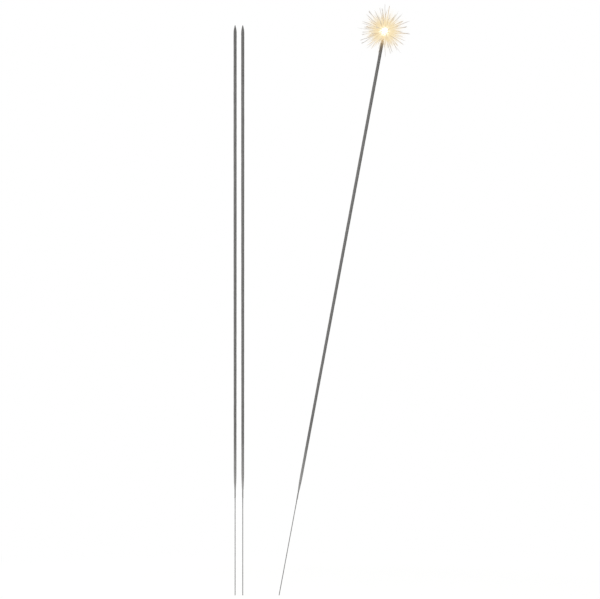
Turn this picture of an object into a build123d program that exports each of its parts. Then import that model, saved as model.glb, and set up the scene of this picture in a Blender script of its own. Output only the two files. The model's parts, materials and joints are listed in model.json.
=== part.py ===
"""Three dipped-wire sparklers: two unlit ones side by side and one that burns at its tip.

Millimetres, +Z up along the two unlit sparklers, +X to the right as seen from the front, along +Y.
The origin is the lower end of the left sparkler's wire, the end that is held.
Each sparkler is a steel wire in two coats of dried paste, both dipped tip down and dried hanging,
so each coat is thickest at its tip and ends there in a drip point, blunt on the base coat.
"""

import os
from math import acos, cos, pi, radians, sin, sqrt

from build123d import *

# The wire: drawn steel, cut square at both ends, its lower end broken for the hand
wire_diameter = 1.2
wire_length = 691.0
wire_end_chamfer = 0.15

# The base coat: a thin film where it shows above the handle, full thickness under the body coat
handle_length = 120.0
base_show_length = 10.0
base_film_thickness = 0.18
base_thickness = 0.65
base_swell_length = 30.0
base_point_length = 2.0
base_drip = 2.5

# The body coat: its thickness over the base coat at the foot and at the shoulder
body_lip_thickness = 0.12
body_foot_thickness = 0.4
body_shoulder_thickness = 0.65
body_foot_length = 22.0
body_point_length = 9.5
body_drip = 6.5
body_taper_bow = 0.01

# How full each coat's lower edge is, across the coat and along it, and how full the drip point is
edge_fullness = 0.75
edge_steepness = 0.3
point_fullness = 0.4
point_flat_diameter = 0.8

# How the three stand: the pair upright, the burning one leaning to the right
pair_spacing = 9.4
lit_foot_offset = 54.0
lit_lean = 10.57

# The fire bead on the burning tip
bead_diameter = 11.0
bead_seat_depth = 0.5

# The sparks: straight streaks that run out to points all round the bead
spark_count = 228
spark_shortest = 6.0
spark_longest = 28.5
spark_root_width = 0.55
spark_clear_of_rod = 24.0

# Their lengths: even steps, taken in an order that mixes long and short ones round the bead
spark_length_steps = 12
spark_step_order = 5

# The forks: every few of the longer sparks split in two near the end
fork_every = 3
fork_shortest_spark = 15.0
fork_length = 5.5
fork_spread = 13.0
fork_split_width = 0.2
fork_root_width = 0.14
fork_overlap = 0.6

# Radii stacked outwards from the wire
wire_radius = wire_diameter / 2
film_radius = wire_radius + base_film_thickness
lip_radius = film_radius + body_lip_thickness
base_radius = wire_radius + base_thickness
foot_radius = base_radius + body_foot_thickness
shoulder_radius = base_radius + body_shoulder_thickness
point_flat_radius = point_flat_diameter / 2
bead_radius = bead_diameter / 2

# Heights stacked upwards from the wire's lower end
base_bottom = handle_length
body_bottom = base_bottom + base_show_length
base_full = body_bottom + base_swell_length
body_full = body_bottom + body_foot_length
base_tip = wire_length + base_drip
base_shoulder = base_tip - base_point_length
body_tip = base_tip + body_drip
body_shoulder = body_tip - body_point_length
bead_height = body_tip + bead_radius - bead_seat_depth

GOLDEN_ANGLE = pi * (3 - sqrt(5))


def stand(offset, lean):
    """The plane at a sparkler's lower end, with its Z along the wire."""
    tilt = radians(lean)
    return Plane((offset, 0, 0), x_dir=(cos(tilt), 0, -sin(tilt)), z_dir=(sin(tilt), 0, cos(tilt)))


def half_section(foot):
    """The plane of a sparkler's half section: X outwards from the wire's axis, Y along it."""
    return Plane(foot.origin, x_dir=foot.x_dir, z_dir=-foot.y_dir)


def lower_edge(thin_radius, bottom, full_radius, full):
    """A coat's lower edge, where it thickens fast at first and then slowly up to its full radius."""
    swell_radius = thin_radius + edge_fullness * (full_radius - thin_radius)
    swell_height = bottom + edge_steepness * (full - bottom)
    Bezier((thin_radius, bottom), (swell_radius, swell_height), (full_radius, full))


def body_taper():
    """The long stretch of the body coat, which thickens slowly towards the tip and bows out a little."""
    bowed_radius = (foot_radius + shoulder_radius) / 2 + body_taper_bow
    bowed_height = (body_full + body_shoulder) / 2
    Bezier((foot_radius, body_full), (bowed_radius, bowed_height), (shoulder_radius, body_shoulder))


def base_under_body():
    """The base coat's outline from the body coat's lower edge up to its blunt drip point."""
    lower_edge(film_radius, body_bottom, base_radius, base_full)
    Polyline(
        (base_radius, base_full),
        (base_radius, base_shoulder),
        (point_flat_radius, base_tip),
        (0, base_tip),
    )


def body_drip_point():
    """The body coat's rounded pencil point, up to the small flat where the last drop broke off."""
    fullness = point_fullness * body_point_length
    swell = (shoulder_radius, body_shoulder + fullness)
    Bezier((shoulder_radius, body_shoulder), swell, (point_flat_radius, body_tip))
    Line((point_flat_radius, body_tip), (0, body_tip))


def spark_direction(number, foot):
    """One of the directions spread evenly over the bead, clear of the rod below it."""
    lowest = -cos(radians(spark_clear_of_rod))
    polar = acos(1 - (1 - lowest) * (number + 0.5) / spark_count)
    around = number * GOLDEN_ANGLE
    out = foot.x_dir * cos(around) + foot.y_dir * sin(around)
    return out * sin(polar) + foot.z_dir * cos(polar)


def streaks(roots, root_width, end_width, length):
    """Four-sided streaks, one on each root plane, that narrow from the root width to the end width."""
    if not roots:
        return
    inset = (root_width - end_width) / 2
    with Locations(*roots):
        Wedge(
            root_width,
            length,
            root_width,
            inset,
            inset,
            root_width - inset,
            root_width - inset,
            rotation=(90, 0, 0),
            align=(Align.CENTER, Align.MIN, Align.CENTER),
        )


stands = {
    "left": stand(0, 0),
    "right": stand(pair_spacing, 0),
    "lit": stand(lit_foot_offset, lit_lean),
}
body_coats = {}

os.makedirs("parts", exist_ok=True)

for name, foot in stands.items():
    wire_axis = Axis(foot.origin, foot.z_dir)

    with BuildPart(foot) as wire:
        Cylinder(wire_radius, wire_length, align=(Align.CENTER, Align.CENTER, Align.MIN))
        chamfer(wire.faces().sort_by(wire_axis)[0].edges(), wire_end_chamfer)
    wire.part.label = f"{name}_wire"
    export_step(wire.part, f"parts/{name}_wire.step")

    with BuildPart() as base_coat:
        with BuildSketch(half_section(foot)):
            with BuildLine():
                Polyline((0, base_tip), (0, wire_length), (wire_radius, wire_length))
                Line((wire_radius, wire_length), (wire_radius, base_bottom))
                Polyline((wire_radius, base_bottom), (film_radius, base_bottom), (film_radius, body_bottom))
                base_under_body()
            make_face()
        revolve(axis=wire_axis)
    base_coat.part.label = f"{name}_base_coat"
    export_step(base_coat.part, f"parts/{name}_base_coat.step")

    with BuildPart() as body_coat:
        with BuildSketch(half_section(foot)):
            with BuildLine():
                Line((film_radius, body_bottom), (lip_radius, body_bottom))
                lower_edge(lip_radius, body_bottom, foot_radius, body_full)
                body_taper()
                body_drip_point()
                Line((0, body_tip), (0, base_tip))
                base_under_body()
            make_face()
        revolve(axis=wire_axis)
    body_coat.part.label = f"{name}_body_coat"
    export_step(body_coat.part, f"parts/{name}_body_coat.step")
    body_coats[name] = body_coat.part

lit = stands["lit"]
bead_centre = lit.offset(bead_height)

with BuildPart() as fire_bead:
    with Locations(bead_centre):
        Sphere(bead_radius)
    add(body_coats["lit"], mode=Mode.SUBTRACT)
fire_bead.part.label = "lit_fire_bead"
export_step(fire_bead.part, "parts/lit_fire_bead.step")

spark_groups = []
for step in range(spark_length_steps):
    share = step * spark_step_order % spark_length_steps / (spark_length_steps - 1)
    length = spark_shortest + (spark_longest - spark_shortest) * share
    split_length = length - fork_length
    plain_roots = []
    forked_roots = []
    for place, number in enumerate(range(step, spark_count, spark_length_steps)):
        out = spark_direction(number, lit)
        root = Plane(bead_centre.origin + out * bead_radius, z_dir=out)
        if length >= fork_shortest_spark and place % fork_every == 0:
            forked_roots.append(root)
        else:
            plain_roots.append(root)
    with BuildPart() as spark_group:
        streaks(plain_roots, spark_root_width, 0, length)
        streaks(forked_roots, spark_root_width, fork_split_width, split_length)
        for lean in (fork_spread, -fork_spread):
            forks = [root.offset(split_length - fork_overlap).rotated((lean, 0, 0)) for root in forked_roots]
            streaks(forks, fork_root_width, 0, fork_length + fork_overlap)
    spark_groups.append(spark_group.part)

with BuildPart() as sparks:
    add(spark_groups, mode=Mode.REPLACE)
sparks.part.label = "lit_sparks"
export_step(sparks.part, "parts/lit_sparks.step")
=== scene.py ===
"""Three dipped-wire sparklers, two unlit and one burning, dressed and lit for a studio picture.

Metres, in the frame of the packed model: +Z up along the two upright sparklers, +X to the right and
+Y away from the camera. Each turned piece stands on its sparkler's own foot, with its Z along the wire.
"""

import json
import math
import random

import bmesh
import bpy
import numpy as np
from bpy.props import FloatProperty, FloatVectorProperty, IntProperty, PointerProperty
from bpy.types import Operator, Panel, PropertyGroup
from mathutils import Matrix, Vector, noise


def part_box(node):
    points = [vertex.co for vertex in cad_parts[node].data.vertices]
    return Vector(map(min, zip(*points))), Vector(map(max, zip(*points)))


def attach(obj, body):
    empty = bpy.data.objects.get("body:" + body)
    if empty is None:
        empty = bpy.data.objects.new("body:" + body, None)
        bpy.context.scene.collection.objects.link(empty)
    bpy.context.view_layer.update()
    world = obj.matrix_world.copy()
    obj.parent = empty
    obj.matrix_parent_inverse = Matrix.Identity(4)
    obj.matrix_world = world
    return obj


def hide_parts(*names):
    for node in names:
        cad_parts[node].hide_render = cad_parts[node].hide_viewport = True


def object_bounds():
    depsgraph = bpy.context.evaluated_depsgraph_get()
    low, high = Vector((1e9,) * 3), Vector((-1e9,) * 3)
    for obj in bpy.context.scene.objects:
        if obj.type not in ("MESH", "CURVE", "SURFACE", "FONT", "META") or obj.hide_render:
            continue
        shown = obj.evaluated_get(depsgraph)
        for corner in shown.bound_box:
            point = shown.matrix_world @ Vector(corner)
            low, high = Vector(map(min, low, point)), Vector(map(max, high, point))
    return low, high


bl_info = {
    "name": "Dipped-wire sparklers",
    "version": (1, 0, 0),
    "blender": (4, 5, 0),
    "location": "View3D > Sidebar > Sparklers",
    "description": "Dresses two unlit sparklers and a burning one and sets a white studio round them",
    "category": "Object",
}

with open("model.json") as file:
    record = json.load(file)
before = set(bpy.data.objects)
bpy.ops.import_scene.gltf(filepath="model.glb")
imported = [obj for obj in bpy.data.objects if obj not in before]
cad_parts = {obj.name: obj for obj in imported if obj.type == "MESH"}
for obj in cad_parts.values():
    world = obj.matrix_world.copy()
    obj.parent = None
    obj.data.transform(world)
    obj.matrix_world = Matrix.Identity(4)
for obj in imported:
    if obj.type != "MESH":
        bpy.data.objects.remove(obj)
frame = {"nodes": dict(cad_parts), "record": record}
cad_low, cad_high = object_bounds()

SPARKLERS = ("left", "right", "lit")
BACK = Vector((0, 1, 0))
GOLDEN_ANGLE = math.pi * (3 - math.sqrt(5))

# The colour sockets of a Mix node, which has a set of sockets with the same names for each kind of value
MIX_SHARE, MIX_A, MIX_B, MIX_RESULT = 0, 6, 7, 2

# A CAD wall's corner faces outwards when its normal leans out by more than this share
LEANS_OUT = 0.2

# Corners of a turned CAD node whose heights agree to this many digits of a metre make one ring
RING_DIGITS = 5

# Edges that turn by more than this stay sharp
SHARP_TURN = math.radians(50)

# The die lines run along the wire a hundred times as far as they are wide
DIE_LINE_STRETCH = (1.0, 1.0, 0.01)

# Moves the paste's pattern along by a sparkler's own place, so that no two look the same
PATTERN_SHIFT = (7.0, 7.0, 7.0)

# How fast the glow of the scorched and firelit coat dies away from the fire
GLOW_FALL = 3.0

# Corners of CAD sparks this near to each other are one
SAME_CORNER = 1e-6

# Corners of a CAD spark this near to its root or its end belong to it
END_SPREAD = 0.0002

# Seeds of the lumps and edges of the coats, one more for each sparkler, and of the sparks
BASE_COAT_SEED = 11
BODY_COAT_SEED = 21
LONG_SPARK_SEED = 7
FINE_SPARK_SEED = 11

# Light of the long and of the fine sparks by the millimetres that they have flown from the bead's middle
LONG_SPARK_COLOURS = {
    5.0: "#FFFBEC",
    7.0: "#F9E9C4",
    10.0: "#F0DAAC",
    15.0: "#E2C89E",
    19.0: "#D4C2A9",
    24.0: "#C8BFB3",
    33.0: "#C4BFBA",
}
FINE_SPARK_COLOURS = {
    5.0: "#FFFBEC",
    7.0: "#F9E8C2",
    10.0: "#F7DFAA",
    13.0: "#FBE7BC",
    17.0: "#FDEFD0",
    22.0: "#FDEFD4",
    31.0: "#FCF2E0",
}


def linear(hex_colour):
    """An sRGB hex colour as linear red, green, blue and alpha."""
    channels = [int(hex_colour[place : place + 2], 16) / 255 for place in (1, 3, 5)]
    return [c / 12.92 if c <= 0.04045 else ((c + 0.055) / 1.055) ** 2.4 for c in channels] + [1.0]


def length(name, description, millimetres):
    """A length that the user can change, given in millimetres and kept in metres."""
    return FloatProperty(
        name=name, description=description, default=millimetres / 1000, unit="LENGTH", precision=6, min=0
    )


def distance(name, description, metres):
    """A distance in the studio that the user can change."""
    return FloatProperty(name=name, description=description, default=metres, unit="LENGTH")


def share(name, description, part):
    """A share of a whole that the user can change."""
    return FloatProperty(name=name, description=description, default=part, subtype="FACTOR", min=0, max=1)


def amount(name, description, number):
    """A plain number that the user can change."""
    return FloatProperty(name=name, description=description, default=number, min=0)


def angle(name, description, degrees):
    """An angle that the user can change, given in degrees."""
    turn = math.radians(degrees)
    return FloatProperty(name=name, description=description, default=turn, subtype="ANGLE")


def count(name, description, number):
    """A whole number that the user can change."""
    return IntProperty(name=name, description=description, default=number, min=0)


def colour(name, description, hex_colour):
    """A colour that the user can change, given as an sRGB hex value."""
    return FloatVectorProperty(
        name=name,
        description=description,
        default=linear(hex_colour),
        size=4,
        subtype="COLOR",
        min=0,
        max=1,
    )


class WireLooks(PropertyGroup):
    """The drawn steel wires."""

    steel: colour("Steel", "Colour of the drawn wire", "#898887")
    smear: colour("Smear", "Colour of the wire next to the coats, smeared with paste", "#62615F")
    smear_reach: length("Smear reach", "How far below the coats the wire is smeared", 16.0)
    die_line: length("Die lines", "Width of the lines that the drawing die leaves along the wire", 0.12)
    die_depth: length("Die depth", "Depth of those lines", 0.02)
    oxide_patch: length("Oxide patches", "Size of the dark patches of oxide", 6.0)
    shear: length("Shear", "How far the cut end slopes across the wire", 0.12)
    ring_step: length("Ring step", "Distance between the mesh rings on the bare wire", 2.0)
    segments: count("Segments", "Mesh segments round the wire", 20)


class CoatLooks(PropertyGroup):
    """The two coats of dried paste."""

    body: colour("Body coat", "Colour of the dried spark paste", "#6B6A69")
    thin: colour("Thin coat", "Colour of the spark paste where it runs thin at its lower edge", "#959493")
    thin_reach: length("Thin reach", "How far up from the lower edge the paste looks thin", 75.0)
    drip: colour("Drip point", "Colour of the spark paste at its thick drip point", "#636261")
    drip_reach: length("Drip reach", "How far down from the drip point the paste is darker", 110.0)
    base: colour("Base coat", "Colour of the thin first coat", "#838280")
    # painted glint: the filings' lighter grey stands partly for their own metal and partly for light
    # glinting on them
    filing_colour: colour("Filings", "Colour of the metal filings in the paste", "#B8B6B3")
    filing: length("Filing size", "Size of those filings", 0.2)
    grain: length("Grain", "Width of the sandy grain of the paste", 0.4)
    pit: length("Pits", "Size of the pits between the grains", 0.88)
    relief: length("Relief", "Depth of the grain and the pits", 0.15)
    mottle: length("Mottle", "Size of the lighter and darker patches of the paste", 9.0)
    lump_height: length("Lump height", "How far the lumps of the dried paste stand out", 0.06)
    lump_width: length("Lump width", "Size of those lumps", 3.2)
    run_height: length("Run height", "How far the runs of the draining paste stand out", 0.06)
    run_width: length("Run width", "Width of those runs", 1.6)
    run_length: length("Run length", "Length of those runs", 26.0)
    edge_wave: length("Edge wave", "How far a coat's lower edge wanders up and down", 0.9)
    edge_turns: amount("Edge turns", "How often that edge wanders round the coat", 0.7)
    edge_reach: length("Edge reach", "How far up the coat that wandering dies out", 5.0)
    cover: length("Cover", "Thickness at which the lumps reach their full height", 0.5)
    # painted light: the warm brown next to the fire is partly the coat's real scorch and partly the fire's
    # light on it, painted into the colour
    burn_and_firelight: colour("Scorch", "Colour of the coat next to the fire", "#A98F68")
    glow: colour("Glow", "Light of the coat where it meets the fire", "#E8B868")
    burn_and_firelight_length: length("Scorch length", "How far down from the fire the coat is scorched", 30.0)
    ring_step: length("Ring step", "Distance between the mesh rings", 0.9)
    segments: count("Segments", "Mesh segments round the coat", 24)


class FireLooks(PropertyGroup):
    """The fire bead and the sparks."""

    white_heat: colour("White heat", "Light of the hottest parts of the bead", "#FFFDF6")
    yellow_heat: colour("Yellow heat", "Light of the cooler patches of the bead", "#FFF3D2")
    bead_light: amount("Bead light", "Strength of the bead's light", 8.0)
    bead_lump: length("Bead lumps", "How far the lumps of molten slag stand out", 0.5)
    bead_lump_width: length("Bead lump width", "Size of those lumps", 2.4)
    spark_light: amount("Spark light", "Strength of the sparks' light where they leave the bead", 1.9)
    heat_reach: length("Heat reach", "How far from the bead's middle that light dies down to 1", 9.0)
    tone_spread: share("Tone spread", "How much sooner or later a spark cools than the others", 0.3)
    spark_start: share("Spark start", "Where in the bead the sparks start, from its middle", 0.9)
    spark_root: length("Spark width", "Width of a long spark where it leaves the bead", 0.4)
    spark_end: length("Spark end", "Width of a long spark near its end", 0.62)
    width_spread: share("Width spread", "How far the long sparks differ in width", 0.5)
    spark_bow: share("Spark bow", "How far a spark bends off its chord", 0.07)
    fork_start: share("Fork start", "Where on its flight a spark splits", 0.8)
    fork_width: share("Fork width", "Width of a split spark's arms as a share of its own", 0.75)
    fine_count: count("Fine sparks", "Number of fine sparks", 6400)
    fine_width: length("Fine width", "Width of a fine spark", 0.09)
    fine_shortest: length("Fine shortest", "Length of the shortest fine spark", 1.0)
    fine_longest: length("Fine longest", "Length of the longest fine spark", 28.5)
    fine_fall: amount("Fine fall", "How fast longer ones get rarer, 1 for as many of each length", 1.5)
    fine_jitter: angle("Fine jitter", "How unevenly the fine sparks are spread", 6.0)
    clear_of_rod: angle("Clear of the rod", "Angle round the rod that the fine sparks leave free", 24.0)


class StageLooks(PropertyGroup):
    """The white studio and the camera."""

    paper: colour("Paper", "Colour of the floor", "#F4F4F2")
    floor_size: distance("Floor", "Side of the floor", 16.0)
    shadow_reach: distance("Shadow reach", "How far round the set the floor takes shadows", 0.7)
    shadow_share: share("Shadow share", "How much of a shadow shows on the white floor", 0.25)
    paper_light: amount("Paper light", "Light that keeps the floor white between the shadows", 1.09)
    daylight: amount("Daylight", "Strength of the light from all round", 0.68)
    key_power: FloatProperty(
        name="Key light", description="Power of the soft box", default=18.0, unit="POWER", min=0
    )
    key_size: distance("Soft box", "Side of the soft box", 1.2)
    key_place: FloatVectorProperty(
        name="Soft box place",
        description="Where the soft box hangs, from the middle of the set",
        default=(-1.0, -1.7, 1.1),
        subtype="TRANSLATION",
    )
    camera_distance: distance("Camera distance", "From the camera to the sparklers", 4.0)
    view_width: distance("View width", "Width of the picture at the sparklers", 0.7368)
    view_right: distance("View right", "Middle of the picture, to the right of the origin", 0.0797)
    view_up: distance("View up", "Middle of the picture, above the origin", 0.3633)


def add_node(tree, kind, inputs=None, **settings):
    """Adds one shader node with its settings; its inputs are values or the outputs that feed them."""
    node = tree.nodes.new(kind)
    for name, value in settings.items():
        setattr(node, name, value)
    for socket, value in (inputs or {}).items():
        if isinstance(value, bpy.types.NodeSocket):
            tree.links.new(value, node.inputs[socket])
        else:
            node.inputs[socket].default_value = value
    return node


def new_material(name):
    """An empty node material, and the tree that its nodes go into."""
    material = bpy.data.materials.new(name)
    material.use_nodes = True
    material.node_tree.nodes.clear()
    return material, material.node_tree


def own_place(tree):
    """Where a point lies in its own object."""
    return add_node(tree, "ShaderNodeTexCoord").outputs["Object"]


def noise_pattern(tree, place, size, detail=3.0, roughness=0.5):
    """Soft noise from 0 to 1, in patches of about the given size."""
    return add_node(
        tree,
        "ShaderNodeTexNoise",
        {"Vector": place, "Scale": 1 / size, "Detail": detail, "Roughness": roughness},
    ).outputs["Fac"]


def mapped(tree, value, before=(0.0, 1.0), after=(0.0, 1.0), smooth=False):
    """A value carried from one range over to another and held at its ends; smooth eases it in and out."""
    low, high = before
    new_low, new_high = after
    return add_node(
        tree,
        "ShaderNodeMapRange",
        {"Value": value, "From Min": low, "From Max": high, "To Min": new_low, "To Max": new_high},
        interpolation_type="SMOOTHSTEP" if smooth else "LINEAR",
    ).outputs["Result"]


def calculate(tree, operation, *numbers):
    """What one of the Math node's operations makes of the numbers."""
    return add_node(tree, "ShaderNodeMath", dict(enumerate(numbers)), operation=operation).outputs["Value"]


def blend(tree, second_share, first, second):
    """A colour between two others."""
    return add_node(
        tree, "ShaderNodeMix", {MIX_SHARE: second_share, MIX_A: first, MIX_B: second}, data_type="RGBA"
    ).outputs[MIX_RESULT]


def shaded(tree, paint, tone):
    """A colour made darker or lighter by a tone, which leaves it as it is at 1."""
    return add_node(
        tree, "ShaderNodeVectorMath", {"Vector": paint, "Scale": tone}, operation="SCALE"
    ).outputs["Vector"]


def foot_of(sparkler):
    """Where a sparkler stands: the lower end of its wire, with Z along the wire and Y to the back."""
    end = next(mount for mount in frame["record"]["mounts"] if mount["name"] == f"{sparkler}_end")
    along = -Vector(end["axis"])
    across = BACK.cross(along)
    return Matrix.Translation(end["pos_m"]) @ Matrix((across, BACK, along)).transposed().to_4x4()


def wall_of(node, foot, side):
    """Heights and radii of a turned CAD node's outer (side 1) or inner (side -1) wall, bottom first."""
    to_foot = foot.inverted()
    turn = to_foot.to_3x3()
    rings = {}
    for vertex in frame["nodes"][node].data.vertices:
        place = to_foot @ vertex.co
        radius = math.hypot(place.x, place.y)
        facing = (turn @ vertex.normal).xy.dot(place.xy) * side
        if facing > LEANS_OUT * radius:
            rings.setdefault(round(place.z, RING_DIGITS), []).append(radius)
    return [(height, max(radii)) for height, radii in sorted(rings.items())]


def smooth_radii(heights, rings):
    """Radii on a smooth line through rings of (height, radius), which never overshoots them."""
    ring_heights, ring_radii = np.array(rings).T
    steps = np.diff(ring_heights)
    slopes = np.diff(ring_radii) / steps
    same_way = slopes[:-1] * slopes[1:] > 0
    below, above = slopes[:-1][same_way], slopes[1:][same_way]
    mean = np.zeros(len(slopes) - 1)
    mean[same_way] = 2 * below * above / (below + above)
    tangents = np.concatenate(([slopes[0]], mean, [slopes[-1]]))
    place = np.clip(np.searchsorted(ring_heights, heights, side="right") - 1, 0, len(steps) - 1)
    t = (heights - ring_heights[place]) / steps[place]
    return (
        (1 + 2 * t) * (1 - t) ** 2 * ring_radii[place]
        + t * (1 - t) ** 2 * steps[place] * tangents[place]
        + t**2 * (3 - 2 * t) * ring_radii[place + 1]
        + t**2 * (t - 1) * steps[place] * tangents[place + 1]
    )


def turned_mesh(name, rows, segments):
    """A closed turned mesh from rows of (height, radius) that start and end on the axis."""
    turns = np.arange(segments) * 2 * math.pi / segments
    verts = [(0, 0, rows[0][0])]
    for height, radius in rows[1:-1]:
        verts += [(radius * math.cos(turn), radius * math.sin(turn), height) for turn in turns]
    verts.append((0, 0, rows[-1][0]))
    last = len(verts) - 1
    first_of_last_ring = last - segments
    faces = []
    for here in range(segments):
        beside = (here + 1) % segments
        faces.append((0, 1 + beside, 1 + here))
        for ring in range(1, first_of_last_ring, segments):
            faces.append((ring + here, ring + beside, ring + segments + beside, ring + segments + here))
        faces.append((last, first_of_last_ring + here, first_of_last_ring + beside))
    mesh = bpy.data.meshes.new(name)
    mesh.from_pydata(verts, [], faces)
    return mesh


def new_piece(name, mesh, foot, material):
    """A smooth-shaded object with its mesh given in the foot's own directions."""
    mesh.shade_smooth()
    mesh.set_sharp_from_angle(angle=SHARP_TURN)
    mesh.materials.append(material)
    piece = bpy.data.objects.new(name, mesh)
    bpy.context.scene.collection.objects.link(piece)
    piece.matrix_world = foot
    return piece


def dress(piece, node):
    """Puts a finished piece in the place of its CAD node."""
    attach(piece, "root")
    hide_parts(node)


def colour_along(tree, along, heights, below, above):
    """A colour that passes smoothly from one below to another above, between two heights on a sparkler."""
    return blend(tree, mapped(tree, along, heights, smooth=True), below, above)


def drawn_steel(looks, coat_bottom):
    """Bare mild steel wire, drawn through a die: dull grey metal with fine lines and faint oxide.

    Next to the coats it is darker, because the wet paste left a smear on it.
    """
    material, tree = new_material("drawn_mild_steel")
    place = own_place(tree)
    along = add_node(tree, "ShaderNodeSeparateXYZ", {"Vector": place}).outputs["Z"]
    smear_heights = coat_bottom - looks.smear_reach, coat_bottom
    smeared = colour_along(tree, along, smear_heights, looks.steel, looks.smear)
    lengthwise = add_node(
        tree, "ShaderNodeMapping", {"Vector": place, "Scale": DIE_LINE_STRETCH}
    ).outputs["Vector"]
    # the die lines of a real wire are some hundredths of a millimetre wide, and are drawn coarser to show
    lines = noise_pattern(tree, lengthwise, looks.die_line)
    oxide = noise_pattern(tree, place, looks.oxide_patch, detail=5.0)
    stain = mapped(tree, oxide, (0.45, 0.75), (1.0, 0.7))
    shade = mapped(tree, lines, after=(0.8, 1.16))
    tinted = shaded(tree, smeared, calculate(tree, "MULTIPLY", stain, shade))
    roughness = mapped(tree, lines, after=(0.28, 0.46))
    bump = add_node(
        tree, "ShaderNodeBump", {"Height": lines, "Strength": 0.25, "Distance": looks.die_depth}
    ).outputs["Normal"]
    shader = add_node(
        tree,
        "ShaderNodeBsdfPrincipled",
        {"Base Color": tinted, "Metallic": 1.0, "Roughness": roughness, "Normal": bump},
    )
    add_node(tree, "ShaderNodeOutputMaterial", {"Surface": shader.outputs["BSDF"]})
    return material


def burnt_and_firelit(tree, looks, along, painted, fire_height):
    """Shader inputs of a coat that turns warm brown below the fire, partly real scorch and partly painted
    light of the fire falling on it, and glows where it meets it.
    """
    # nearness to the fire, which masks both the scorch and the painted firelight
    heat = mapped(tree, along, (fire_height - looks.burn_and_firelight_length, fire_height), smooth=True)
    return {
        "Base Color": blend(tree, heat, painted, looks.burn_and_firelight),
        "Emission Color": looks.glow,
        "Emission Strength": calculate(tree, "POWER", heat, GLOW_FALL),
    }


def dried_paste(name, looks, colours, ends, fire_height=None):
    """Dipped and air-dried paste: matt, sandy grey with soft mottling and light specks of metal filings,
    partly their own colour and partly a painted glint.

    The colours are those of the thin paste at the coat's lower end, of the full coat and of the thick drip
    at its upper end. Where a fire height is given, the coat is warm brown below it, partly real scorch and
    partly painted light of the fire, and glows where it meets the fire.
    """
    thin, full, drip = colours
    bottom, top = ends
    material, tree = new_material(name)
    place = own_place(tree)
    along = add_node(tree, "ShaderNodeSeparateXYZ", {"Vector": place}).outputs["Z"]
    covered = colour_along(tree, along, (bottom, bottom + looks.thin_reach), thin, full)
    paste = colour_along(tree, along, (top - looks.drip_reach, top), covered, drip)
    stand = add_node(tree, "ShaderNodeObjectInfo").outputs["Location"]
    own = add_node(
        tree, "ShaderNodeVectorMath", {0: stand, 1: PATTERN_SHIFT, 2: place}, operation="MULTIPLY_ADD"
    ).outputs["Vector"]
    mottle = noise_pattern(tree, own, looks.mottle)
    grain = noise_pattern(tree, own, looks.grain, detail=4.0, roughness=0.65)
    pits = add_node(
        tree, "ShaderNodeTexVoronoi", {"Vector": own, "Scale": 1 / looks.pit}
    ).outputs["Distance"]
    patch = mapped(tree, mottle, after=(0.8, 1.2))
    speck = mapped(tree, grain, after=(0.6, 1.4))
    toned = shaded(tree, paste, calculate(tree, "MULTIPLY", patch, speck))
    # the filings are about a tenth of a millimetre across, and are drawn twice as wide to show
    filings = add_node(
        tree, "ShaderNodeTexVoronoi", {"Vector": own, "Scale": 1 / looks.filing}
    ).outputs["Color"]
    # painted glint: the filings are lighter grey in the colour, partly their own metal and partly the glint
    # of light on them
    filing_and_painted_glint = mapped(tree, filings, (0.78, 0.9), (0.0, 0.7))
    painted = blend(tree, filing_and_painted_glint, toned, looks.filing_colour)
    height = calculate(tree, "ADD", grain, pits)
    bump = add_node(
        tree, "ShaderNodeBump", {"Height": height, "Strength": 0.9, "Distance": looks.relief}
    ).outputs["Normal"]
    surface = {"Base Color": painted, "Roughness": 0.85, "Normal": bump}
    if fire_height is not None:
        surface.update(burnt_and_firelit(tree, looks, along, painted, fire_height))
    shader = add_node(tree, "ShaderNodeBsdfPrincipled", surface)
    add_node(tree, "ShaderNodeOutputMaterial", {"Surface": shader.outputs["BSDF"]})
    return material


class SPARKLER_OT_wires(Operator):
    """Turns the three drawn steel wires, with their sheared lower ends"""

    bl_idname = "sparkler.wires"
    bl_label = "Steel wires"

    def execute(self, context):
        looks = context.scene.sparkler_wire
        bare = wall_of("left_base_coat", foot_of("left"), -1)[0][0]
        steel = drawn_steel(looks, bare)
        for sparkler in SPARKLERS:
            foot = foot_of(sparkler)
            cut_edge, chamfer_edge, *others = wall_of(f"{sparkler}_wire", foot, 1)
            radius = chamfer_edge[1]
            top = others[-1][0]
            rings = math.ceil(bare / looks.ring_step) + 1
            rows = [(cut_edge[0], 0), cut_edge]
            rows += [(height, radius) for height in np.linspace(chamfer_edge[0], bare, rings)]
            rows += [(top, radius), (top, 0)]
            mesh = turned_mesh(f"{sparkler}_steel_wire", rows, looks.segments)
            cut_end = 1 + 2 * looks.segments
            for vertex in mesh.vertices[:cut_end]:
                vertex.co.z += looks.shear * (vertex.co.x / radius + 1) / 2
            dress(new_piece(mesh.name, mesh, foot, steel), f"{sparkler}_wire")
        return {"FINISHED"}


def roughen(mesh, looks, inner_rows, bottom, thin_radius, seed):
    """Gives a coat's outer wall its lumps and runs, and lets its lower edge wander."""
    offset = Vector((seed, 2 * seed, 3 * seed))
    run_pattern = Vector((1 / looks.run_width, 1 / looks.run_width, 1 / looks.run_length))
    first = 1 + inner_rows * looks.segments
    for vertex in mesh.vertices:
        point = vertex.co
        radius = math.hypot(point.x, point.y)
        if radius == 0:
            continue
        out = Vector((point.x / radius, point.y / radius, 0))
        if vertex.index >= first:
            lump = looks.lump_height * noise.noise(point / looks.lump_width + offset)
            run = looks.run_height * noise.noise(point * run_pattern - offset)
            cover = min(max((radius - thin_radius) / looks.cover, 0), 1)
            vertex.co += out * cover * (lump + run)
        fade = math.exp(-(point.z - bottom) / looks.edge_reach)
        vertex.co.z += looks.edge_wave * fade * noise.noise(out * looks.edge_turns + offset)


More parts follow.
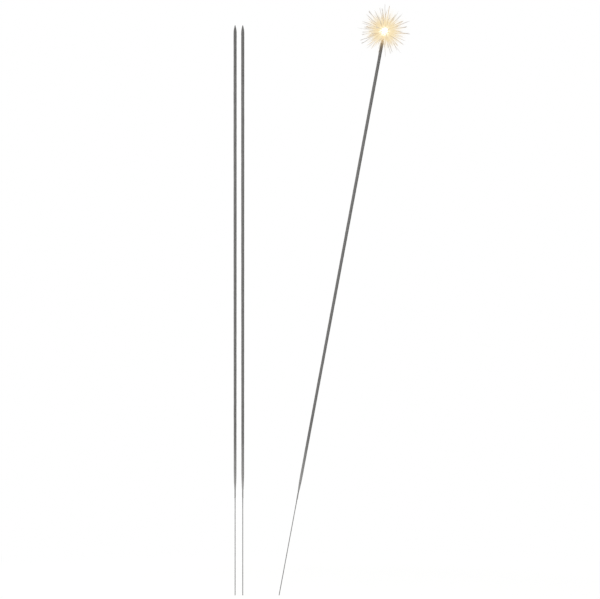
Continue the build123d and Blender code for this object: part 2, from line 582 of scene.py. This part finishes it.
def coat_rows(inner, outer, fine_to, looks):
    """Rows of a coat from the pole inside its tip, down its inner wall and up its outer wall."""
    bottom, top = outer[0][0], outer[-1][0]
    fine = np.linspace(bottom, fine_to, math.ceil((fine_to - bottom) / looks.ring_step) + 1)
    rows = [(inner[-1][0], 0)] + inner[::-1]
    rows += list(zip(fine, smooth_radii(fine, outer)))
    rows += [ring for ring in outer if ring[0] > fine_to]
    return rows + [(top, 0)]


class SPARKLER_OT_base_coats(Operator):
    """Turns the thin first coat of each sparkler, which shows as a step above the bare wire"""

    bl_idname = "sparkler.base_coats"
    bl_label = "Base coats"

    def execute(self, context):
        looks = context.scene.sparkler_coat
        wall = wall_of("left_base_coat", foot_of("left"), 1)
        paste = dried_paste("dried_base_paste", looks, 3 * [looks.base], (wall[0][0], wall[-1][0]))
        for seed, sparkler in enumerate(SPARKLERS, start=BASE_COAT_SEED):
            foot = foot_of(sparkler)
            inner = wall_of(f"{sparkler}_base_coat", foot, -1)
            outer = wall_of(f"{sparkler}_base_coat", foot, 1)
            shows_to = wall_of(f"{sparkler}_body_coat", foot, 1)[0][0]
            rows = coat_rows(inner, outer, shows_to + looks.edge_reach, looks)
            mesh = turned_mesh(f"{sparkler}_dried_base_coat", rows, looks.segments)
            roughen(mesh, looks, len(inner), outer[0][0], inner[0][1], seed)
            dress(new_piece(mesh.name, mesh, foot, paste), f"{sparkler}_base_coat")
        return {"FINISHED"}


class SPARKLER_OT_body_coats(Operator):
    """Turns the thick coat of each sparkler, with its lumps, runs, wandering edge and drip point"""

    bl_idname = "sparkler.body_coats"
    bl_label = "Body coats"

    def execute(self, context):
        looks = context.scene.sparkler_coat
        wall = wall_of("left_body_coat", foot_of("left"), 1)
        ends = wall[0][0], wall[-1][0]
        colours = looks.thin, looks.body, looks.drip
        fire_height = (foot_of("lit").inverted() @ bead_ball()[0]).z
        cold = dried_paste("dried_spark_paste", looks, colours, ends)
        # a second copy of the paste, which carries the scorch and the fire's painted light
        burnt_firelit_paste = dried_paste("scorched_spark_paste", looks, colours, ends, fire_height)
        for seed, sparkler in enumerate(SPARKLERS, start=BODY_COAT_SEED):
            foot = foot_of(sparkler)
            inner = wall_of(f"{sparkler}_body_coat", foot, -1)
            outer = wall_of(f"{sparkler}_body_coat", foot, 1)
            rows = coat_rows(inner, outer, outer[-1][0], looks)
            mesh = turned_mesh(f"{sparkler}_dried_body_coat", rows, looks.segments)
            roughen(mesh, looks, len(inner), outer[0][0], inner[0][1], seed)
            paste = burnt_firelit_paste if sparkler == "lit" else cold
            dress(new_piece(mesh.name, mesh, foot, paste), f"{sparkler}_body_coat")
        return {"FINISHED"}


def bead_ball():
    """The middle and the radius of the CAD's ball of fire."""
    low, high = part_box("lit_fire_bead")
    return (Vector(low) + Vector(high)) / 2, (high[0] - low[0]) / 2


def molten_slag(looks):
    """White-hot molten slag: it gives so much light that its lumps and yellower patches only just show."""
    material, tree = new_material("white_hot_slag")
    patches = noise_pattern(tree, own_place(tree), looks.bead_lump_width)
    cooler = mapped(tree, patches, (0.45, 0.7))
    light = blend(tree, cooler, looks.white_heat, looks.yellow_heat)
    shader = add_node(tree, "ShaderNodeEmission", {"Color": light, "Strength": looks.bead_light})
    add_node(tree, "ShaderNodeOutputMaterial", {"Surface": shader.outputs["Emission"]})
    return material


def burning_iron(name, looks, bead_radius, colours):
    """Burning iron filings in flight: white-hot at the bead, golden on the way, dull at the end."""
    material, tree = new_material(name)
    reach = max(colours) / 1000
    place = own_place(tree)
    flown = add_node(tree, "ShaderNodeVectorMath", {"Vector": place}, operation="LENGTH").outputs["Value"]
    tone = add_node(tree, "ShaderNodeAttribute", attribute_name="tone").outputs["Fac"]
    spread = mapped(tree, tone, after=(1 - looks.tone_spread, 1 + looks.tone_spread))
    cooled = calculate(tree, "MULTIPLY", flown, spread)
    ramp = add_node(tree, "ShaderNodeValToRGB", {"Fac": calculate(tree, "DIVIDE", cooled, reach)})
    # a new ramp has a stop at each end: the upper one goes before ours come in, and the lower one after
    stops = ramp.color_ramp.elements
    stops.remove(stops[-1])
    for flight, hex_colour in colours.items():
        stops.new(flight / 1000 / reach).color = linear(hex_colour)
    stops.remove(stops[0])
    light = mapped(tree, flown, (bead_radius, looks.heat_reach), (looks.spark_light, 1.0), smooth=True)
    shader = add_node(tree, "ShaderNodeEmission", {"Color": ramp.outputs["Color"], "Strength": light})
    add_node(tree, "ShaderNodeOutputMaterial", {"Surface": shader.outputs["Emission"]})
    return material


class SPARKLER_OT_fire_bead(Operator):
    """Forms the molten, white-hot bead at the burning tip"""

    bl_idname = "sparkler.fire_bead"
    bl_label = "Fire bead"

    def execute(self, context):
        looks = context.scene.sparkler_fire
        centre, radius = bead_ball()
        ball = bmesh.new()
        bmesh.ops.create_icosphere(ball, subdivisions=5, radius=radius)
        for vertex in ball.verts:
            lump = noise.noise(vertex.co / looks.bead_lump_width)
            vertex.co += vertex.co.normalized() * looks.bead_lump * lump
        mesh = bpy.data.meshes.new("white_hot_bead")
        ball.to_mesh(mesh)
        ball.free()
        piece = new_piece("white_hot_bead", mesh, Matrix.Translation(centre), molten_slag(looks))
        dress(piece, "lit_fire_bead")
        return {"FINISHED"}


def loose_parts(shape):
    """The vertices of each loose part of a mesh, one part after the other."""
    seen = set()
    for first in shape.verts:
        if first in seen:
            continue
        seen.add(first)
        waiting = [first]
        part = []
        while waiting:
            vertex = waiting.pop()
            part.append(vertex)
            for edge in vertex.link_edges:
                other = edge.other_vert(vertex)
                if other not in seen:
                    seen.add(other)
                    waiting.append(other)
        yield part


def cad_flights(centre):
    """Root and ends of each CAD spark, from the bead's middle; a forked one has two ends."""
    shape = bmesh.new()
    shape.from_mesh(frame["nodes"]["lit_sparks"].data)
    bmesh.ops.remove_doubles(shape, verts=shape.verts, dist=SAME_CORNER)
    flights = []
    for part in loose_parts(shape):
        corners = [vertex.co - centre for vertex in part]
        near = min(corner.length for corner in corners) + END_SPREAD
        far = max(corner.length for corner in corners) - END_SPREAD
        roots = [corner for corner in corners if corner.length < near]
        ends = [corner for corner in corners if corner.length > far]
        flights.append((sum(roots, Vector()) / len(roots), ends))
    shape.free()
    return flights


class Burst:
    """Gathers streaks into one mesh, each with so many sides and rings."""

    # The last share of a spark, over which it runs out to a point, and the point's share of its width
    POINT_LENGTH = 0.2
    POINT_WIDTH = 0.15

    def __init__(self, sides, rings):
        self.sides = sides
        self.rings = rings
        self.verts = []
        self.faces = []
        self.tones = []

    def streak(self, start, end, bend, start_width, end_width, tone, pointed=True):
        """Adds one closed streak, which bends sideways off its chord by the bend vector."""
        first = len(self.verts)
        chord = end - start
        across = chord.orthogonal().normalized()
        beside = chord.normalized().cross(across)
        for ring in range(self.rings):
            flown = ring / (self.rings - 1)
            middle = start + chord * flown + bend * (4 * flown * (1 - flown))
            radius = (start_width + (end_width - start_width) * flown) / 2
            if pointed:
                radius *= min(max((1 - flown) / self.POINT_LENGTH, self.POINT_WIDTH), 1)
            for side in range(self.sides):
                turn = 2 * math.pi * side / self.sides
                self.verts.append(middle + (across * math.cos(turn) + beside * math.sin(turn)) * radius)
                self.tones.append(tone)
        for ring in range(first, first + (self.rings - 1) * self.sides, self.sides):
            for side in range(self.sides):
                here, next_side = ring + side, ring + (side + 1) % self.sides
                self.faces.append((here, next_side, next_side + self.sides, here + self.sides))
        last = first + (self.rings - 1) * self.sides
        self.faces.append(tuple(range(first + self.sides - 1, first - 1, -1)))
        self.faces.append(tuple(range(last, last + self.sides)))

    def to_mesh(self, name):
        """The gathered streaks as one mesh, with each spark's tone on its corners."""
        mesh = bpy.data.meshes.new(name)
        mesh.from_pydata(self.verts, [], self.faces)
        mesh.attributes.new("tone", "FLOAT", "POINT").data.foreach_set("value", self.tones)
        return mesh


def sideways(chord, dice):
    """A random direction square to a chord."""
    turn = Matrix.Rotation(dice.uniform(0, 2 * math.pi), 3, chord.normalized())
    return turn @ chord.orthogonal().normalized()


class SPARKLER_OT_long_sparks(Operator):
    """Draws the long sparks: the CAD's streaks, bent, forked and of different widths"""

    bl_idname = "sparkler.long_sparks"
    bl_label = "Long sparks"

    def execute(self, context):
        looks = context.scene.sparkler_fire
        dice = random.Random(LONG_SPARK_SEED)
        centre, bead_radius = bead_ball()
        burst = Burst(sides=5, rings=7)
        for root, ends in cad_flights(centre):
            tone = dice.random()
            width = 1 + looks.width_spread * dice.uniform(-1, 1)
            root_width, end_width = looks.spark_root * width, looks.spark_end * width
            start = root * looks.spark_start
            chord = sum(ends, Vector()) / len(ends) - root
            bend = sideways(chord, dice) * chord.length * looks.spark_bow * dice.uniform(-1, 1)
            if len(ends) == 1:
                burst.streak(start, ends[0], bend, root_width, end_width, tone)
                continue
            split = root + chord * looks.fork_start
            split_width = root_width + (end_width - root_width) * looks.fork_start
            stem_bend = bend * looks.fork_start
            burst.streak(start, split, stem_bend, root_width, split_width, tone, pointed=False)
            arm_start, arm_end = split_width * looks.fork_width, end_width * looks.fork_width
            for end in ends:
                burst.streak(split, end, Vector(), arm_start, arm_end, tone)
        mesh = burst.to_mesh("long_sparks")
        iron = burning_iron("burning_iron_filings", looks, bead_radius, LONG_SPARK_COLOURS)
        dress(new_piece(mesh.name, mesh, Matrix.Translation(centre), iron), "lit_sparks")
        return {"FINISHED"}


class SPARKLER_OT_fine_sparks(Operator):
    """Draws the fine sparks that fill the glow round the bead"""

    bl_idname = "sparkler.fine_sparks"
    bl_label = "Fine sparks"

    def execute(self, context):
        looks = context.scene.sparkler_fire
        dice = random.Random(FINE_SPARK_SEED)
        centre, bead_radius = bead_ball()
        turn = foot_of("lit").to_3x3()
        lowest = -math.cos(looks.clear_of_rod)
        length_range = looks.fine_longest - looks.fine_shortest
        burst = Burst(sides=3, rings=4)
        for number in range(looks.fine_count):
            along = 1 - (1 - lowest) * (number + 0.5) / looks.fine_count
            around = number * GOLDEN_ANGLE + looks.fine_jitter * dice.uniform(-1, 1)
            wide = math.sqrt(1 - along * along)
            out = turn @ Vector((wide * math.cos(around), wide * math.sin(around), along))
            flight = looks.fine_shortest + length_range * dice.random() ** looks.fine_fall
            bend = sideways(out, dice) * flight * looks.spark_bow * dice.uniform(-1, 1)
            start = out * bead_radius * looks.spark_start
            end = out * (bead_radius + flight)
            burst.streak(start, end, bend, looks.fine_width, looks.fine_width / 2, dice.random())
        mesh = burst.to_mesh("fine_sparks")
        iron = burning_iron("burning_iron_dust", looks, bead_radius, FINE_SPARK_COLOURS)
        dress(new_piece(mesh.name, mesh, Matrix.Translation(centre), iron), "lit_sparks")
        return {"FINISHED"}


def shown_white(tree):
    """1 for the rays that show the background: straight to the camera, or by way of metal and glass."""
    path = add_node(tree, "ShaderNodeLightPath").outputs
    shown = path["Is Camera Ray"]
    for other in ("Is Glossy Ray", "Is Transmission Ray"):
        shown = calculate(tree, "MAXIMUM", shown, path[other])
    return shown


def white_paper(looks):
    """Matt white studio paper: plain white to the camera, with the set's soft shadow round its foot."""
    material, tree = new_material("white_studio_paper")
    place = own_place(tree)
    away = add_node(tree, "ShaderNodeVectorMath", {"Vector": place}, operation="LENGTH").outputs["Value"]
    zone = looks.shadow_reach / 2, looks.shadow_reach
    clear = mapped(tree, away, zone, (1 - looks.shadow_share, 1.0), smooth=True)
    light = mapped(tree, away, zone, (looks.paper_light, 1.0), smooth=True)
    white = calculate(tree, "MULTIPLY", shown_white(tree), clear)
    lit = add_node(tree, "ShaderNodeBsdfDiffuse", {"Color": looks.paper}).outputs["BSDF"]
    plain = add_node(
        tree, "ShaderNodeEmission", {"Color": (1, 1, 1, 1), "Strength": light}
    ).outputs["Emission"]
    mixed = add_node(tree, "ShaderNodeMixShader", {0: white, 1: lit, 2: plain}).outputs["Shader"]
    add_node(tree, "ShaderNodeOutputMaterial", {"Surface": mixed})
    return material


def lay_floor(scene, looks, middle):
    """The sheet of white paper under the set."""
    mesh = bpy.data.meshes.new("studio_floor")
    half = looks.floor_size / 2
    corners = [(-half, -half, 0), (half, -half, 0), (half, half, 0), (-half, half, 0)]
    mesh.from_pydata(corners, [], [(0, 1, 2, 3)])
    mesh.materials.append(white_paper(looks))
    floor = bpy.data.objects.new("studio_floor", mesh)
    floor.location = (middle.x, middle.y, cad_low.z)
    scene.collection.objects.link(floor)


def light_room(scene, looks):
    """Soft light from all round, in a room that the camera sees as white."""
    scene.world = bpy.data.worlds.new("white_studio")
    scene.world.use_nodes = True
    tree = scene.world.node_tree
    tree.nodes.clear()
    brightness = calculate(tree, "MULTIPLY_ADD", shown_white(tree), 1 - looks.daylight, looks.daylight)
    sky = add_node(tree, "ShaderNodeBackground", {"Color": (1, 1, 1, 1), "Strength": brightness})
    add_node(tree, "ShaderNodeOutputWorld", {"Surface": sky.outputs["Background"]})


def hang_soft_box(scene, looks, middle):
    """The soft box at the upper left, turned to the middle of the set."""
    soft_box = bpy.data.objects.new("soft_box", bpy.data.lights.new("soft_box", "AREA"))
    soft_box.data.energy = looks.key_power
    soft_box.data.size = looks.key_size
    soft_box.location = middle + Vector(looks.key_place)
    soft_box.rotation_euler = (middle - soft_box.location).to_track_quat("-Z", "Y").to_euler()
    soft_box.visible_camera = False
    scene.collection.objects.link(soft_box)


def set_camera(scene, looks):
    """A level camera straight in front of the set, far enough away to see it almost without perspective."""
    camera = bpy.data.objects.new("camera", bpy.data.cameras.new("camera"))
    camera.data.lens = camera.data.sensor_width * looks.camera_distance / looks.view_width
    camera.location = (looks.view_right, -looks.camera_distance, looks.view_up)
    camera.rotation_euler = (math.pi / 2, 0, 0)
    scene.collection.objects.link(camera)
    scene.camera = camera


class SPARKLER_OT_stage(Operator):
    """Lays the white floor and sets the lights and the camera"""

    bl_idname = "sparkler.stage"
    bl_label = "Stage"

    def execute(self, context):
        scene = context.scene
        looks = scene.sparkler_stage
        middle = (cad_low + cad_high) / 2
        scene.view_settings.view_transform = "Standard"
        lay_floor(scene, looks, middle)
        light_room(scene, looks)
        hang_soft_box(scene, looks, middle)
        set_camera(scene, looks)
        return {"FINISHED"}


class SPARKLER_PT_panel(Panel):
    """The sidebar tab with a button for each piece and the settings of all of them"""

    bl_label = "Sparklers"
    bl_idname = "SPARKLER_PT_panel"
    bl_space_type = "VIEW_3D"
    bl_region_type = "UI"
    bl_category = "Sparklers"

    def draw(self, context):
        for operator in OPERATORS:
            self.layout.operator(operator.bl_idname)
        for group, looks in LOOKS.items():
            box = self.layout.box()
            box.label(text=looks.__doc__)
            for setting in looks.__annotations__:
                box.prop(getattr(context.scene, group), setting)


LOOKS = {
    "sparkler_wire": WireLooks,
    "sparkler_coat": CoatLooks,
    "sparkler_fire": FireLooks,
    "sparkler_stage": StageLooks,
}
OPERATORS = (
    SPARKLER_OT_stage,
    SPARKLER_OT_wires,
    SPARKLER_OT_base_coats,
    SPARKLER_OT_body_coats,
    SPARKLER_OT_fire_bead,
    SPARKLER_OT_long_sparks,
    SPARKLER_OT_fine_sparks,
)


def register():
    """Makes the settings, the operators and the panel known to Blender."""
    for cls in (*LOOKS.values(), *OPERATORS, SPARKLER_PT_panel):
        bpy.utils.register_class(cls)
    for name, looks in LOOKS.items():
        setattr(bpy.types.Scene, name, PointerProperty(type=looks))


def unregister():
    """Takes them away again."""
    for name in LOOKS:
        delattr(bpy.types.Scene, name)
    for cls in (SPARKLER_PT_panel, *reversed(OPERATORS), *LOOKS.values()):
        bpy.utils.unregister_class(cls)


def main():
    """Makes every piece."""
    register()
    bpy.ops.sparkler.stage()
    bpy.ops.sparkler.wires()
    bpy.ops.sparkler.base_coats()
    bpy.ops.sparkler.body_coats()
    bpy.ops.sparkler.fire_bead()
    bpy.ops.sparkler.long_sparks()
    bpy.ops.sparkler.fine_sparks()


if __name__ == "__main__":
    main()
